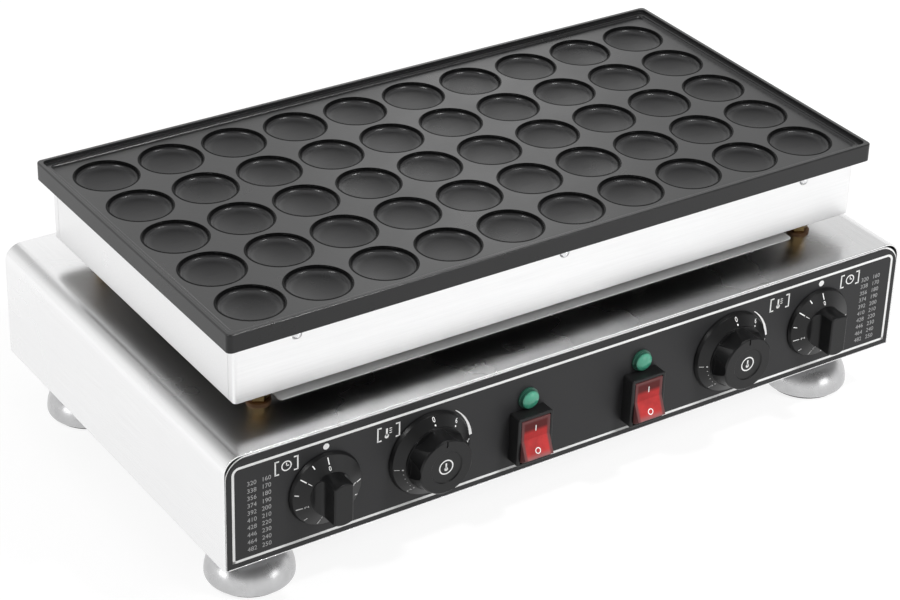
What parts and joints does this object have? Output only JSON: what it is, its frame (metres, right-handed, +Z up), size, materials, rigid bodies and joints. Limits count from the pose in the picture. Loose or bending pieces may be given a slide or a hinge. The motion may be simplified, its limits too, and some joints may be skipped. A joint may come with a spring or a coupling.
{
  "type": "mini pancake maker",
  "caption": "Electric mini pancake maker: cast plate with rows of shallow round wells on a heater box above a folded steel base with timers, thermostats and rocker switches.",
  "frame": {"origin": "on the worktop, under the middle of the appliance's bounding box", "axes": "+X along the front to the user's right, +Y away from the user towards the back, +Z up"},
  "size_m": [0.591, 0.3896, 0.2128],
  "materials": {
    "plate_coating": "cast aluminium with a satin black non-stick coating",
    "box_steel": "satin stainless sheet, fine grain along its length",
    "base_steel": "bright stainless sheet, nearly mirror smooth",
    "plain_steel": "plain mill-finish sheet",
    "fastener_steel": "bright zinc-plated steel",
    "brass": "turned brass",
    "copper": "drawn copper",
    "element_steel": "heat-darkened steel tube",
    "insulation": "pressed mineral fibre board",
    "fascia_black": "printed plastic sheet, fine grain",
    "knob_black": "moulded black thermoset, satin",
    "switch_black": "moulded black nylon",
    "rocker_red": "translucent red acrylic",
    "lens_green": "translucent green acrylic",
    "foot_metal": "polished cast metal",
    "pad_rubber": "black rubber",
    "case_dark": "moulded thermoset",
    "case_pale": "pale moulded thermoset and ceramic",
    "loom_sheath": "glass-fibre sheathed leads"
  },
  "bodies": {
    "base": {"baking_plate": "plate_coating", "skirt_front": "box_steel", "skirt_back": "box_steel", "skirt_left": "box_steel", "skirt_right": "box_steel", "heater_pan": "box_steel", "base_cover": "base_steel", "front_panel": "base_steel", "rear_panel": "base_steel", "base_floor": "plain_steel", "heat_shield": "plain_steel", "wiring_sleeve": "plain_steel", "element_clamps": "plain_steel", "skirt_screws": "fastener_steel", "floor_screws": "fastener_steel", "foot_bolts": "fastener_steel", "clamp_studs": "fastener_steel", "clamp_nuts": "fastener_steel", "support_studs": "brass", "support_nuts": "brass", "support_washers": "copper", "capillary_left": "copper", "capillary_right": "copper", "heating_element_left": "element_steel", "heating_element_right": "element_steel", "insulating_board": "insulation", "control_fascia": "fascia_black", "switch_frame_left": "switch_black", "switch_frame_right": "switch_black", "lamp_holder_left": "switch_black", "lamp_holder_right": "switch_black", "cord_inlet": "switch_black", "cord_inlet_nut": "switch_black", "lamp_lens_left": "lens_green", "lamp_lens_right": "lens_green", "foot_front_left": "foot_metal", "foot_front_right": "foot_metal", "foot_back_left": "foot_metal", "foot_back_right": "foot_metal", "pad_front_left": "pad_rubber", "pad_front_right": "pad_rubber", "pad_back_left": "pad_rubber", "pad_back_right": "pad_rubber", "timer_case_left": "case_dark", "timer_case_right": "case_dark", "thermostat_case_left": "case_pale", "thermostat_case_right": "case_pale", "terminal_block": "case_pale", "wiring_loom": "loom_sheath"},
    "timer_left": {"timer_knob_left": "knob_black", "timer_shaft_left": "fastener_steel"},
    "timer_right": {"timer_knob_right": "knob_black", "timer_shaft_right": "fastener_steel"},
    "thermostat_left": {"thermostat_knob_left": "knob_black", "thermostat_shaft_left": "fastener_steel"},
    "thermostat_right": {"thermostat_knob_right": "knob_black", "thermostat_shaft_right": "fastener_steel"},
    "rocker_left": {"rocker_left": "rocker_red"},
    "rocker_right": {"rocker_right": "rocker_red"}
  },
  "joints": [
    {"name": "timer_left_turn", "type": "hinge", "parent": "base", "child": "timer_left", "pos_m": [-0.2175, -0.1688, 0.0875], "axis": [0, 1, 0], "range_deg": [0, 270]},
    {"name": "thermostat_left_turn", "type": "hinge", "parent": "base", "child": "thermostat_left", "pos_m": [-0.133, -0.1688, 0.0875], "axis": [0, 1, 0], "range_deg": [0, 300]},
    {"name": "rocker_left_tilt", "type": "hinge", "parent": "base", "child": "rocker_left", "pos_m": [-0.05, -0.1743, 0.077], "axis": [1, 0, 0], "range_deg": [0, 24]},
    {"name": "timer_right_turn", "type": "hinge", "parent": "base", "child": "timer_right", "pos_m": [0.2175, -0.1688, 0.0875], "axis": [0, 1, 0], "range_deg": [0, 270]},
    {"name": "thermostat_right_turn", "type": "hinge", "parent": "base", "child": "thermostat_right", "pos_m": [0.133, -0.1688, 0.0875], "axis": [0, 1, 0], "range_deg": [0, 300]},
    {"name": "rocker_right_tilt", "type": "hinge", "parent": "base", "child": "rocker_right", "pos_m": [0.05, -0.1743, 0.077], "axis": [1, 0, 0], "range_deg": [0, 24]}
  ]
}
